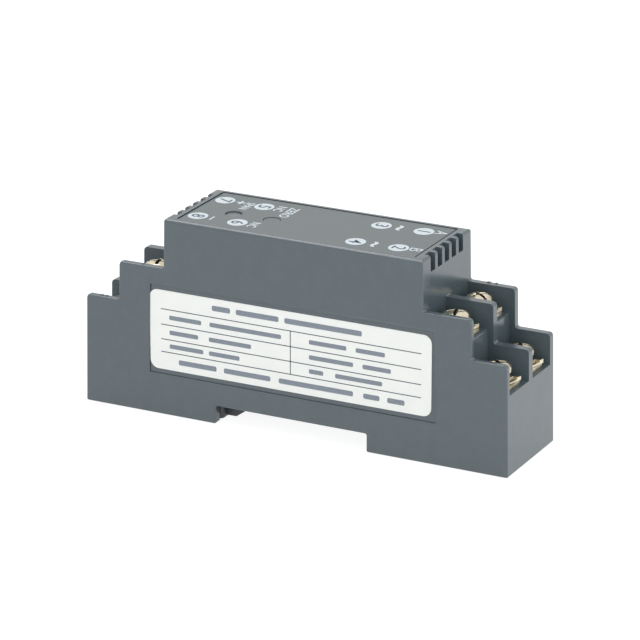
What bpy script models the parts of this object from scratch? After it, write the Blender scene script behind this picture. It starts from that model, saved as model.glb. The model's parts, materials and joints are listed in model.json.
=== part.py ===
"""Voltage transducer for a 35 mm mounting rail.

A stepped plastic case holds eight screw terminals, four at each end, on two levels.
A base cover with a fixed hook and a sprung latch closes the case from below.
X runs along the length, Y across the width, Z up; the origin is at the middle of the feet.
All sizes here are in millimetres, and the helper functions turn them into metres.
The case is drawn with upright ends and then leaned to its mould draft, so its X sizes hold at DRAFT_Z.
"""
from math import copysign, cos, pi, radians, sin, tan

import bmesh
import bpy
from mathutils import Matrix, Vector

MM = 0.001
PRODUCT = "voltage_transducer"

# Case
WIDTH = 24.0
HEIGHT = 44.6
BLOCK_X = 30.95
UPPER_STEP_X = 41.85
LOWER_STEP_X = 49.9
UPPER_STEP_Z = 33.45
LOWER_STEP_Z = 24.7
SIDE_WALL = 2.1
END_WALL = 1.8
FLOOR_WALL = 2.0
BLOCK_R = 0.55
STEP_R = 0.8
INNER_CORNER_R = 0.4
EDGE_R = 0.4
TOP_EDGE_R = 0.9
GAP = 0.3
SEAT_GAP = 0.05

# Mould draft of the two ends; the stretch over the rail stays upright
DRAFT = radians(1.3)
DRAFT_Z = 22.5
DRAFT_FROM_X = 20.0
DRAFT_RUN = 8.0

# Rail notch
NOTCH_LEFT_X = -18.4
NOTCH_RIGHT_X = 17.7
NOTCH_Z = 4.1

# Terminal bays, two side by side on each step, with a partition between them
FRONT_BAY_Y = (-10.7, -0.95)
BACK_BAY_Y = (0.95, 10.0)
UPPER_FLOOR_Z = 27.9
LOWER_FLOOR_Z = 17.9
RISER_X = 40.5

# Screw wells
UPPER_SCREW_X = 35.3
LOWER_SCREW_X = 45.0
FRONT_SCREW_Y = -5.8
BACK_SCREW_Y = 5.65
WELL_R = 2.2
WELL_DEPTH = 5.0
BOSS_R = 3.6
BOSS_BOTTOM = 1.5

# Terminal metalwork
TAIL_W = 3.0
TAIL_REACH = 8.4
TAIL_BEND_R = 0.7
TAIL_FOOT_Z = 8.5
PLATE_T = 0.8
PLATE_W = 5.0
PLATE_SETBACK = 1.0
WASHER_T = 0.9
WASHER_HALF = (3.6, 3.5)
WASHER_WAIST = 2.75
WASHER_EAR = 0.7
WASHER_TURN = radians(-12)
SCOOP_HALF = 2.05
SCOOP_START = 2.4
SCOOP_DEPTH = 0.4
LOCK_R = 2.75
LOCK_T = 0.8
LOCK_BORE = 0.15
LOCK_SPLIT = 0.5
LOCK_SLANT = radians(20)
HEAD_R = 3.0
HEAD_H = 2.05
SHANK_R = 1.75
SHANK_L = 6.3
SHANK_POINT = 0.5
HOLE_R = 2.0
CROSS_ARM = 1.75
CROSS_HALF_W = 0.45
CROSS_TIP_HALF_W = 0.36
CROSS_DEPTH = 1.3

# Top plate
PANEL_RECESS = 0.1
OPENING_X = 28.65
OPENING_Y = 10.5
OPENING_R = 0.3
LEDGE_Z = 43.1
PLATE_X = 27.75
PLATE_Y = (-10.35, 10.1)
PANEL_T = 1.3
SPAN_AT = (-19.05, -1.7)
ZERO_AT = (-9.8, -1.8)
SPAN_HOLE_R = 1.88
ZERO_HOLE_R = 1.95
SPAN_SINK = 0.55
ZERO_SINK = 0.3
PLUG_FIT = 0.1
PLUG_FLANGE = 0.5

# Vents
VENT_COUNT = 5
VENT_PITCH = 3.41
VENT_W = 2.15
VENT_DROP = 3.6
VENT_RUN = 1.4
VENT_MIDDLE_Y = -0.15

# Side label
LABEL_RECESS_X = (-34.25, 33.65)
LABEL_RECESS_Z = (9.2, 29.7)
LABEL_RECESS_R = 0.2
LABEL_X = (-34.0, 32.9)
LABEL_Z = (10.5, 28.5)
LABEL_SINK = 0.25
LABEL_T = 0.15
LABEL_R = 1.9

# Base cover
COVER_T = 2.0
COVER_R = 0.6
HOOK_REACH = 1.85
HOOK_Z = (0.9, 2.7)
HOOK_LEAD = 0.5
HOOK_HALF_W = 7.0
KEEL_X = (-42.0, -38.5)
KEEL_HALF_W = 2.2
KEEL_FOOT_HALF_W = 4.2
KEEL_FOOT_Z = (0.3, 1.0)
TONGUE_X = 24.0
TONGUE_HALF_L = 1.7
TONGUE_T = 1.2
TONGUE_TOP_Z = 11.2
BARB_Z = (9.3, 9.5, 10.3)
BARB_REACH = 0.6
POCKET_Z = (9.0, 10.6)
POCKET_DEPTH = 0.7
POST_X = 31.0
POST_Y = 5.0
POST_R = 1.6

# Rail latch
LATCH_Z = (0.3, 3.8)
LATCH_HALF_W = 9.5
LATCH_END_X = -17.9
LATCH_HEEL_X = -43.7
LATCH_TAIL_X = -49.8
LATCH_TAIL_HALF_W = 4.7
LATCH_TRAVEL = 4.0
LATCH_PLAY = 0.4
PULL_SLOT_X = (-48.4, -47.0)
PULL_SLOT_HALF_W = 3.2
NOSE_TIP_X = -13.9
NOSE_Z = (0.5, 2.9)
NOSE_BEVEL_Z = 1.9
NOSE_HALF_W = 7.0
SPRING_END_X = -29.5
SPRING_R = 1.25
SPRING_WIRE_R = 0.2
SPRING_TURNS = 6

# Circuit boards
MAIN_BOARD_Z = 9.2
SIGNAL_BOARD_Z = 33.0
BOARD_T = 1.6
MAIN_BOARD_HALF = (46.5, 8.1)
SIGNAL_BOARD_HALF = (27.5, 8.9)
HEADER_X = 23.4
HEADER_T = 2.2
HEADER_HALF_W = 6.0

# Parts on the boards
CORE_X = (-19.5, -1.5)
CORE_HALF_W = 6.0
CORE_H = 16.0
YOKE_H = 3.0
CORE_WINDOW_X = 4.5
CORE_WINDOW_HALF = 2.0
WINDING_HALF = (6.2, 7.6)
WINDING_R = 1.5
LEG_HALF = (2.8, 6.3)
POWER_X = (2.5, 19.5)
POWER_HALF_W = 7.2
POWER_H = 10.5
CAN_X = 31.6
CAN_Y = 3.9
CAN_PROFILE = ((0, 9.2), (2.6, 9.2), (2.6, 9.0), (3.0, 8.9), (3.2, 8.6), (3.2, 1.4), (2.9, 1.1), (3.2, 0.8), (3.2, 0),
               (0, 0))
CHIPS = (("optocoupler", (-4.8, -0.2), 3.2, 3.4), ("converter_chip", (3.0, 11.0), 3.0, 1.8),
         ("output_chip", (15.0, 20.0), 2.5, 1.6))
TRIMMER_HALF = 3.3
TRIMMER_H = 5.2
TRIMMER_BORE_R = 2.1
TRIMMER_BORE_Z = 3.2
ROTOR_R = 1.8
ROTOR_H = 2.6
ROTOR_EDGE = 0.2
ROTOR_SLOT_HALF = 0.35

SIDE_INNER_Y = WIDTH / 2 - SIDE_WALL
WASHER_LOW = SEAT_GAP * 2 + PLATE_T
LOCK_LOW = SEAT_GAP * 3 + PLATE_T + WASHER_T
HEAD_LOW = SEAT_GAP * 4 + PLATE_T + WASHER_T + LOCK_T


def clear_scene():
    for obj in list(bpy.data.objects):
        bpy.data.objects.remove(obj, do_unlink=True)


def new_collection(name):
    group = bpy.data.collections.new(name)
    bpy.context.scene.collection.children.link(group)
    return group


def linear(channel):
    """Turn one 8 bit colour channel into the linear value that a shader takes."""
    value = channel / 255
    return value / 12.92 if value <= 0.04045 else ((value + 0.055) / 1.055) ** 2.4


def make_material(name, rgb, roughness, metallic=0.0):
    finish = bpy.data.materials.new(name)
    finish.use_nodes = True
    shader = finish.node_tree.nodes["Principled BSDF"]
    shader.inputs["Base Color"].default_value = (*[linear(c) for c in rgb], 1.0)
    shader.inputs["Roughness"].default_value = roughness
    shader.inputs["Metallic"].default_value = metallic
    finish.diffuse_color = (*[linear(c) for c in rgb], 1.0)
    return finish


def add_part(name, mesh, finish, at=(0, 0, 0), turn=0.0):
    part = bpy.data.objects.new(name, mesh)
    part.location = Vector(at) * MM
    part.rotation_euler = (0, 0, turn)
    PARTS.objects.link(part)
    if not mesh.materials:
        mesh.materials.append(finish)
    return part


def add_cutter(name, mesh):
    cutter = bpy.data.objects.new(name, mesh)
    cutter.hide_render = True
    cutter.display_type = "WIRE"
    CUTTERS.objects.link(cutter)
    return cutter


def boolean(part, tool, operation="DIFFERENCE"):
    step = part.modifiers.new(operation.lower() + "_" + tool.name, "BOOLEAN")
    step.operation = operation
    step.object = tool
    step.solver = "EXACT"


def bevel(part, width, segments=2, angle=40):
    step = part.modifiers.new("rounded_edges", "BEVEL")
    step.width = width * MM
    step.segments = segments
    step.limit_method = "ANGLE"
    step.angle_limit = radians(angle)


def mirror(part, x=False, y=False):
    step = part.modifiers.new("mirrored", "MIRROR")
    step.use_axis = (x, y, False)
    step.merge_threshold = 0.00001


def mesh_from_bmesh(name, bm):
    mesh = bpy.data.meshes.new(name)
    bm.to_mesh(mesh)
    bm.free()
    return mesh


def boxes(name, spans):
    """Closed boxes, each given by its X, Y and Z spans."""
    bm = bmesh.new()
    for span in spans:
        size = Vector([high - low for low, high in span]) * MM
        centre = Vector([(high + low) / 2 for low, high in span]) * MM
        matrix = Matrix.Translation(centre) @ Matrix.Diagonal((*size, 1.0))
        bmesh.ops.create_cube(bm, size=1.0, matrix=matrix)
    return mesh_from_bmesh(name, bm)


def cylinders(name, centres, radius, low_z, high_z, sides=20):
    """Upright closed cylinders at the given X and Y; low_z and high_z are offsets from each centre's Z."""
    bm = bmesh.new()
    for x, y, z in centres:
        middle = Vector((x, y, z + (low_z + high_z) / 2)) * MM
        bmesh.ops.create_cone(bm, cap_ends=True, segments=sides, radius1=radius * MM, radius2=radius * MM,
                              depth=(high_z - low_z) * MM, matrix=Matrix.Translation(middle))
    return mesh_from_bmesh(name, bm)


def rounded(corners, steps=3):
    """An outline from (x, y, radius) corners, each corner drawn as an arc that is tangent to both sides."""
    outline = []
    for i, (x, y, radius) in enumerate(corners):
        here = Vector((x, y))
        before = (Vector(corners[i - 1][:2]) - here).normalized()
        after = (Vector(corners[(i + 1) % len(corners)][:2]) - here).normalized()
        if radius <= 0:
            outline.append(here)
            continue
        half = before.angle(after) / 2
        centre = here + (before + after).normalized() * (radius / sin(half))
        start = here + before * (radius / tan(half)) - centre
        sweep = start.angle_signed(here + after * (radius / tan(half)) - centre)
        for k in range(steps + 1):
            angle = -sweep * k / steps
            outline.append(centre + Matrix.Rotation(angle, 2) @ start)
    return outline


def rectangle(xs, ys, radius, steps=3):
    """The outline of a rectangle with four equal rounded corners."""
    (x0, x1), (y0, y1) = xs, ys
    return rounded([(x0, y0, radius), (x1, y0, radius), (x1, y1, radius), (x0, y1, radius)], steps)


TURNS = {"XY": (0, 0, 0), "XZ": (pi / 2, 0, 0), "YZ": (pi / 2, 0, pi / 2)}
NORMALS = {"XY": Vector((0, 0, 1)), "XZ": Vector((0, 1, 0)), "YZ": Vector((1, 0, 0))}


def prism(name, outline, plane, low, high):
    """A closed solid of a flat outline in the named plane, from low to high along the plane's normal."""
    curve = bpy.data.curves.new(name, "CURVE")
    curve.dimensions = "2D"
    curve.fill_mode = "BOTH"
    curve.extrude = (high - low) / 2 * MM
    spline = curve.splines.new("POLY")
    spline.points.add(len(outline) - 1)
    for point, corner in zip(spline.points, outline):
        point.co = (corner[0] * MM, corner[1] * MM, 0, 1)
    spline.use_cyclic_u = True
    shape = bpy.data.objects.new(name, curve)
    CUTTERS.objects.link(shape)
    shape.rotation_euler = TURNS[plane]
    shape.location = NORMALS[plane] * (high + low) / 2 * MM
    mesh = finished_mesh(shape)
    bm = bmesh.new()
    bm.from_mesh(mesh)
    bmesh.ops.remove_doubles(bm, verts=bm.verts, dist=0.000001)
    bmesh.ops.dissolve_limit(bm, angle_limit=radians(1), verts=bm.verts, edges=bm.edges)
    bmesh.ops.recalc_face_normals(bm, faces=bm.faces)
    bm.to_mesh(mesh)
    bm.free()
    return mesh


def finished_mesh(obj):
    """The object's evaluated mesh with its place applied; the object itself is removed."""
    bpy.context.view_layer.update()
    evaluated = obj.evaluated_get(bpy.context.evaluated_depsgraph_get())
    mesh = bpy.data.meshes.new_from_object(evaluated)
    mesh.transform(obj.matrix_world)
    mesh.name = obj.name
    bpy.data.objects.remove(obj, do_unlink=True)
    return mesh


def turned(name, profile, finish, at=(0, 0, 0), steps=16):
    """A solid of revolution about Z; the profile runs down the outer side from the top to the bottom."""
    bm = bmesh.new()
    points = [bm.verts.new((x * MM, 0, z * MM)) for x, z in profile]
    for upper, lower in zip(points, points[1:]):
        bm.edges.new((upper, lower))
    part = add_part(name, mesh_from_bmesh(name, bm), finish, at)
    step = part.modifiers.new("turned", "SCREW")
    step.angle = 2 * pi
    step.steps = steps
    step.render_steps = steps
    step.use_merge_vertices = True
    step.merge_threshold = 0.00001
    return part


def shade(part, angle=35):
    part.data.shade_smooth()
    part.data.set_sharp_from_angle(angle=radians(angle))


def terminal_places():
    """Number, side (+1 right, -1 left), level and row (+1 back, -1 front) of every terminal."""
    places = []
    for side, levels in ((1, ("lower", "upper")), (-1, ("upper", "lower"))):
        for level in levels:
            for row in (1, -1):
                places.append((len(places) + 1, side, level, row))
    return places


def screw_place(side, level, row):
    x = UPPER_SCREW_X if level == "upper" else LOWER_SCREW_X
    y = BACK_SCREW_Y if row > 0 else FRONT_SCREW_Y
    z = UPPER_FLOOR_Z if level == "upper" else LOWER_FLOOR_Z
    return side * x, y, z


def draft_shift(z):
    """How far an end wall stands out at this height, against its place at DRAFT_Z."""
    return (DRAFT_Z - z) * tan(DRAFT)


def lean_ends(mesh):
    """Give both ends of a finished case their mould draft; faces stay flat, as X only slides with Z."""
    for vertex in mesh.vertices:
        x, _, z = vertex.co / MM
        share = min(max((abs(x) - DRAFT_FROM_X) / DRAFT_RUN, 0), 1)
        vertex.co.x += copysign(share, x) * draft_shift(z) * MM


def case_outline():
    r, q = STEP_R, INNER_CORNER_R
    right = [(NOTCH_RIGHT_X, NOTCH_Z, q), (NOTCH_RIGHT_X, 0, q), (LOWER_STEP_X, 0, q), (LOWER_STEP_X, LOWER_STEP_Z, r),
             (UPPER_STEP_X, LOWER_STEP_Z, q), (UPPER_STEP_X, UPPER_STEP_Z, r), (BLOCK_X, UPPER_STEP_Z, q),
             (BLOCK_X, HEIGHT, BLOCK_R)]
    left = [(-x, z, radius) for x, z, radius in reversed(right[2:])]
    left += [(NOTCH_LEFT_X, 0, q), (NOTCH_LEFT_X, NOTCH_Z, q)]
    return rounded(right + left)


def cavity_outline():
    """The space inside the case, stepped under the terminal floors and open at the feet."""
    lower_x = LOWER_STEP_X - FLOOR_WALL
    middle_x = RISER_X - END_WALL
    upper_x = BLOCK_X - END_WALL
    lower_z = LOWER_FLOOR_Z - FLOOR_WALL
    middle_z = UPPER_FLOOR_Z - FLOOR_WALL
    half = [(lower_x, -1, 0), (lower_x, lower_z, INNER_CORNER_R), (middle_x, lower_z, 0),
            (middle_x, middle_z, INNER_CORNER_R), (upper_x, middle_z, 0), (upper_x, LEDGE_Z, 0)]
    return rounded(half + [(-x, z, radius) for x, z, radius in reversed(half)])


def cut_bays(case):
    """Open the terminal bays from above and from the ends, down to both floors."""
    above = HEIGHT + 2
    beyond = LOWER_STEP_X + 2
    steps = rounded([(BLOCK_X, UPPER_FLOOR_Z, INNER_CORNER_R), (RISER_X, UPPER_FLOOR_Z, INNER_CORNER_R),
                     (RISER_X, LOWER_FLOOR_Z, INNER_CORNER_R), (beyond, LOWER_FLOOR_Z, 0), (beyond, above, 0),
                     (BLOCK_X, above, 0)], steps=2)
    for name, span in (("front_bays", FRONT_BAY_Y), ("back_bays", BACK_BAY_Y)):
        bays = add_cutter(name, prism(name, steps, "XZ", *span))
        mirror(bays, x=True)
        boolean(case, bays)


def cut_vents(case):
    """A row of slots at each end of the block, open at the top and at the end, that lead inside."""
    vent_x = BLOCK_X - VENT_RUN
    vent_z = HEIGHT - VENT_DROP
    inside_x = BLOCK_X - END_WALL - 1
    above = HEIGHT + 2
    slot = [(inside_x, vent_z), (BLOCK_X + 1, vent_z), (BLOCK_X + 1, above), (vent_x, above),
            (vent_x, LEDGE_Z - GAP), (inside_x, LEDGE_Z - GAP)]
    first_y = VENT_MIDDLE_Y - VENT_PITCH * (VENT_COUNT - 1) / 2
    vents = add_cutter("vents", prism("vents", slot, "XZ", first_y - VENT_W / 2, first_y + VENT_W / 2))
    row = vents.modifiers.new("row", "ARRAY")
    row.count = VENT_COUNT
    row.use_relative_offset = False
    row.use_constant_offset = True
    row.constant_offset_displace = (0, VENT_PITCH * MM, 0)
    mirror(vents, x=True)
    boolean(case, vents)


def make_case():
    half = WIDTH / 2
    case = add_part("case", prism("case", case_outline(), "XZ", -half, half), SHELL)
    bevel(case, EDGE_R)

    cavity = prism("cavity", cavity_outline(), "XZ", -SIDE_INNER_Y, SIDE_INNER_Y)
    boolean(case, add_cutter("cavity", cavity))

    screws = [screw_place(side, level, row) for _, side, level, row in terminal_places()]
    bosses = cylinders("screw_bosses", screws, BOSS_R, -WELL_DEPTH - BOSS_BOTTOM, -FLOOR_WALL / 2)
    boolean(case, add_cutter("screw_bosses", bosses), "UNION")
    cut_bays(case)

    above = HEIGHT + 2
    opening = rectangle((-OPENING_X, OPENING_X), (-OPENING_Y, OPENING_Y), OPENING_R)
    boolean(case, add_cutter("panel_opening", prism("panel_opening", opening, "XY", LEDGE_Z, above)))
    cut_vents(case)

    centre_y, centre_z = half - TOP_EDGE_R, HEIGHT - TOP_EDGE_R
    arc = [(centre_y + TOP_EDGE_R * cos(a), centre_z + TOP_EDGE_R * sin(a)) for a in [pi / 8 * k for k in range(5)]]
    trim = arc + [(centre_y, above), (half + 1, above), (half + 1, centre_z)]
    rounding = add_cutter("top_rounding", prism("top_rounding", trim, "YZ", -BLOCK_X - 1, BLOCK_X + 1))
    mirror(rounding, y=True)
    boolean(case, rounding)

    recess = rectangle(LABEL_RECESS_X, LABEL_RECESS_Z, LABEL_RECESS_R)
    boolean(case, add_cutter("label_recess", prism("label_recess", recess, "XZ", -half - 1, -half + LABEL_SINK)))

    wells = cylinders("screw_wells", screws, WELL_R, -WELL_DEPTH, 1)
    boolean(case, add_cutter("screw_wells", wells))

    slots = []
    for x, y, z in screws:
        side = 1 if x > 0 else -1
        wall_x = BLOCK_X if z == UPPER_FLOOR_Z else RISER_X
        ends = sorted((side * (wall_x - END_WALL - 1), side * (wall_x + 0.5)))
        slots.append((ends, (y - TAIL_W / 2 - GAP, y + TAIL_W / 2 + GAP), (z - GAP / 2, z + PLATE_T + 2 * GAP)))
    boolean(case, add_cutter("tail_slots", boxes("tail_slots", slots)))

    window_y = LATCH_TAIL_HALF_W + 0.5
    window = [((-LOWER_STEP_X - 1, LATCH_HEEL_X), (-window_y, window_y), (-1, NOTCH_Z))]
    boolean(case, add_cutter("latch_window", boxes("latch_window", window)))

    pocket_x = (TONGUE_X - TONGUE_HALF_L - GAP, TONGUE_X + TONGUE_HALF_L + GAP)
    pocket_y = (SIDE_INNER_Y - GAP, SIDE_INNER_Y + POCKET_DEPTH)
    pockets = add_cutter("snap_pockets", boxes("snap_pockets", [(pocket_x, pocket_y, POCKET_Z)]))
    mirror(pockets, x=True, y=True)
    boolean(case, pockets)

    mesh = finished_mesh(case)
    lean_ends(mesh)
    shade(add_part("case", mesh, SHELL))


def make_base_cover():
    """The mounting plate over the rail, the closed right foot with its hook, and the keel for the latch."""
    end_x = LOWER_STEP_X + draft_shift(NOTCH_Z + COVER_T) - FLOOR_WALL - GAP
    web_x = NOTCH_RIGHT_X
    half_w = SIDE_INNER_Y - GAP
    outline = rounded([(-end_x, NOTCH_Z, 0), (web_x, NOTCH_Z, INNER_CORNER_R), (web_x, 0, INNER_CORNER_R),
                       (end_x, 0, 0), (end_x, COVER_T, 0), (web_x + COVER_T, COVER_T, COVER_R),
                       (web_x + COVER_T, NOTCH_Z + COVER_T, COVER_R), (-end_x, NOTCH_Z + COVER_T, 0)])
    cover = add_part("base_cover", prism("base_cover", outline, "XZ", -half_w, half_w), SHELL_DARK)

    low, high = HOOK_Z
    hook = rounded([(web_x - HOOK_REACH, low + HOOK_LEAD, GAP), (web_x + 1, low, 0), (web_x + 1, high, 0),
                    (web_x - HOOK_REACH, high - 0.1, GAP)])
    boolean(cover, add_cutter("rail_hook", prism("rail_hook", hook, "XZ", -HOOK_HALF_W, HOOK_HALF_W)), "UNION")

    foot_low, foot_high = KEEL_FOOT_Z
    keel = [(-KEEL_HALF_W, NOTCH_Z + 1), (-KEEL_HALF_W, foot_high), (-KEEL_FOOT_HALF_W, foot_high),
            (-KEEL_FOOT_HALF_W, foot_low), (KEEL_FOOT_HALF_W, foot_low), (KEEL_FOOT_HALF_W, foot_high),
            (KEEL_HALF_W, foot_high), (KEEL_HALF_W, NOTCH_Z + 1)]
    boolean(cover, add_cutter("latch_keel", prism("latch_keel", keel, "YZ", *KEEL_X)), "UNION")

    root, tip = half_w - TONGUE_T, half_w + BARB_REACH
    barb_low, barb_out, barb_top = BARB_Z
    for name, x, base in (("left", -TONGUE_X, NOTCH_Z + COVER_T - 1), ("right", TONGUE_X, COVER_T - 1)):
        tongue = [(root, base), (half_w, base), (half_w, barb_low), (tip, barb_out), (half_w, barb_top),
                  (half_w, TONGUE_TOP_Z), (root, TONGUE_TOP_Z)]
        name = "snap_tongues_" + name
        tongues = add_cutter(name, prism(name, tongue, "YZ", x - TONGUE_HALF_L, x + TONGUE_HALF_L))
        mirror(tongues, y=True)
        boolean(cover, tongues, "UNION")

    post_top = MAIN_BOARD_Z - SEAT_GAP
    for name, x, base in (("left", -POST_X, NOTCH_Z + 1), ("right", POST_X, COVER_T - 1)):
        name = "board_posts_" + name
        posts = cylinders(name, [(x, y, 0) for y in (-POST_Y, POST_Y)], POST_R, base, post_top, sides=12)
        boolean(cover, add_cutter(name, posts), "UNION")
    shade(cover)


def make_rail_latch():
    """A flat slider with a nose that hooks under the rail, a window for the spring and a pull slot."""
    low, high = LATCH_Z
    tail_y = LATCH_TAIL_HALF_W
    slab = rounded([(LATCH_HEEL_X, -LATCH_HALF_W, 0.6), (LATCH_END_X, -LATCH_HALF_W, 1.0),
                    (LATCH_END_X, LATCH_HALF_W, 1.0), (LATCH_HEEL_X, LATCH_HALF_W, 0.6),
                    (LATCH_HEEL_X, tail_y, 0), (LATCH_TAIL_X, tail_y, 1.0), (LATCH_TAIL_X, -tail_y, 1.0),
                    (LATCH_HEEL_X, -tail_y, 0)])
    latch = add_part("rail_latch", prism("rail_latch", slab, "XY", low, high), LATCH_BLACK)
    bevel(latch, 0.25, segments=1)

    nose_low, nose_high = NOSE_Z
    nose = rounded([(LATCH_END_X - 1, nose_low, 0), (NOSE_TIP_X - 2, nose_low, 0), (NOSE_TIP_X, NOSE_BEVEL_Z, 0.4),
                    (NOSE_TIP_X, nose_high, 0.4), (LATCH_END_X - 1, nose_high, 0)])
    boolean(latch, add_cutter("latch_nose", prism("latch_nose", nose, "XZ", -NOSE_HALF_W, NOSE_HALF_W)), "UNION")

    window_x = (KEEL_X[0] - LATCH_PLAY, SPRING_END_X)
    window_y = (-KEEL_HALF_W - LATCH_PLAY, KEEL_HALF_W + LATCH_PLAY)
    through = (low - 1, high + 1)
    boolean(latch, add_cutter("spring_window", boxes("spring_window", [(window_x, window_y, through)])))
    track_x = (KEEL_X[0] - LATCH_PLAY, KEEL_X[1] + LATCH_TRAVEL + 2 * GAP)
    track_y = (-KEEL_FOOT_HALF_W - LATCH_PLAY, KEEL_FOOT_HALF_W + LATCH_PLAY)
    track = boxes("keel_track", [(track_x, track_y, (low - 1, KEEL_FOOT_Z[1] + GAP))])
    boolean(latch, add_cutter("keel_track", track))
    slot = boxes("pull_slot", [(PULL_SLOT_X, (-PULL_SLOT_HALF_W, PULL_SLOT_HALF_W), through)])
    boolean(latch, add_cutter("pull_slot", slot))
    shade(latch)


def make_latch_spring():
    """A compression coil along X between the keel and the far end of the latch's window."""
    start_x = KEEL_X[1] + GAP + SPRING_WIRE_R
    length = SPRING_END_X - GAP - SPRING_WIRE_R - start_x
    axis_z = sum(LATCH_Z) / 2
    per_turn = 10
    curve = bpy.data.curves.new("latch_spring", "CURVE")
    curve.dimensions = "3D"
    curve.bevel_depth = SPRING_WIRE_R * MM
    curve.bevel_resolution = 1
    curve.use_fill_caps = True
    spline = curve.splines.new("POLY")
    count = SPRING_TURNS * per_turn + 1
    spline.points.add(count - 1)
    for i, point in enumerate(spline.points):
        angle = 2 * pi * i / per_turn
        x = start_x + length * i / (count - 1)
        y = SPRING_R * cos(angle)
        z = axis_z + SPRING_R * sin(angle)
        point.co = (x * MM, y * MM, z * MM, 1)
    coil = bpy.data.objects.new("latch_spring", curve)
    CUTTERS.objects.link(coil)
    mesh = finished_mesh(coil)
    bm = bmesh.new()
    bm.from_mesh(mesh)
    bmesh.ops.remove_doubles(bm, verts=bm.verts, dist=0.000001)
    bmesh.ops.recalc_face_normals(bm, faces=bm.faces)
    bm.to_mesh(mesh)
    bm.free()
    shade(add_part("latch_spring", mesh, SPRING_STEEL))


def make_top_plate():
    """The legend plate on the case's ledge, with two holes over the trimmers, each closed by a plug."""
    top = HEIGHT - PANEL_RECESS
    outline = rectangle((-PLATE_X, PLATE_X), PLATE_Y, OPENING_R)
    plate = add_part("top_plate", prism("top_plate", outline, "XY", top - PANEL_T, top), PANEL)
    places = (("span", SPAN_AT, SPAN_HOLE_R, SPAN_SINK), ("zero", ZERO_AT, ZERO_HOLE_R, ZERO_SINK))
    for name, (hole_x, hole_y), radius, sink in places:
        hole = cylinders(name + "_hole", [(hole_x, hole_y, top)], radius, -PANEL_T - 1, 1, sides=24)
        boolean(plate, add_cutter(name + "_hole", hole))
        stem = radius - PLUG_FIT
        flange = stem + PLUG_FLANGE
        under = -PANEL_T - SEAT_GAP
        profile = [(0, -sink), (stem, -sink), (stem, under), (flange, under), (flange, under - PLUG_FLANGE),
                   (0, under - PLUG_FLANGE)]
        shade(turned(name + "_plug", profile, PANEL, (hole_x, hole_y, top), steps=24))
    shade(plate)


def make_side_label():
    outline = rectangle(LABEL_X, LABEL_Z, LABEL_R, steps=5)
    back = -WIDTH / 2 + LABEL_SINK - SEAT_GAP / 2
    add_part("side_label", prism("side_label", outline, "XZ", back - LABEL_T, back), LABEL_WHITE)


def contact_mesh(level):
    """A stamped strip: a wide plate under the screw, and a narrow tail that bends down to the board."""
    floor_z = UPPER_FLOOR_Z if level == "upper" else LOWER_FLOOR_Z
    screw_x = UPPER_SCREW_X if level == "upper" else LOWER_SCREW_X
    wall_x = BLOCK_X if level == "upper" else RISER_X
    inner = wall_x + GAP - screw_x
    outer = (RISER_X if level == "upper" else LOWER_STEP_X) - PLATE_SETBACK - screw_x
    foot = TAIL_FOOT_Z - floor_z
    low, high = SEAT_GAP, SEAT_GAP + PLATE_T
    strip = rounded([(-TAIL_REACH, foot, 0), (-TAIL_REACH + PLATE_T, foot, 0), (-TAIL_REACH + PLATE_T, low, 0),
                     (outer, low, 0), (outer, high, 0), (-TAIL_REACH, high, TAIL_BEND_R)])
    name = "contact_" + level
    contact = add_part(name, prism(name, strip, "XZ", -PLATE_W / 2, PLATE_W / 2), NICKEL)
    sides = [((-TAIL_REACH - 1, inner), span, (foot - 1, high + 1)) for span in
             ((TAIL_W / 2, PLATE_W), (-PLATE_W, -TAIL_W / 2))]
    boolean(contact, add_cutter(name + "_sides", boxes("sides", sides)))
    boolean(contact, add_cutter(name + "_hole", cylinders("hole", [(0, 0, 0)], HOLE_R, -1, 2, sides=16)))
    return finished_mesh(contact)


def clamp_washer_mesh():
    """A flat clamp washer with an ear at each corner and a shallow scoop for the wire at each end."""
    x, y = WASHER_HALF
    ear_x = x - WASHER_EAR
    corner = [(ear_x, WASHER_WAIST, 0), (ear_x, y, 0.1), (x, y, 0.2)]
    outline = []
    for sign_x, sign_y in ((1, 1), (1, -1), (-1, -1), (-1, 1)):
        quarter = [(sign_x * px, sign_y * py, radius) for px, py, radius in corner]
        outline += quarter if sign_x == sign_y else quarter[::-1]
    low, high = WASHER_LOW, WASHER_LOW + WASHER_T
    washer = add_part("clamp_blank", prism("clamp_blank", rounded(outline, steps=2), "XY", low, high), NICKEL)
    boolean(washer, add_cutter("washer_hole", cylinders("hole", [(0, 0, 0)], HOLE_R, 0, 4, sides=16)))
    scoops = [(span, (-SCOOP_HALF, SCOOP_HALF), (high - SCOOP_DEPTH, high + 1)) for span in
              ((SCOOP_START, x + 1), (-x - 1, -SCOOP_START))]
    boolean(washer, add_cutter("washer_scoops", boxes("scoops", scoops)))
    return finished_mesh(washer)


def lock_washer_mesh():
    """A flat ring split by one slanting cut."""
    low, high = LOCK_LOW, LOCK_LOW + LOCK_T
    bore = SHANK_R + LOCK_BORE
    ring = turned("lock_blank", [(bore, high), (LOCK_R, high), (LOCK_R, low), (bore, low), (bore, high)], NICKEL)
    cut = boxes("split", [((bore - 1, LOCK_R + 1), (-LOCK_SPLIT / 2, LOCK_SPLIT / 2), (low - 1, high + 1))])
    cut.transform(Matrix.Rotation(LOCK_SLANT, 4, "X"))
    boolean(ring, add_cutter("washer_split", cut))
    return finished_mesh(ring)


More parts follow.
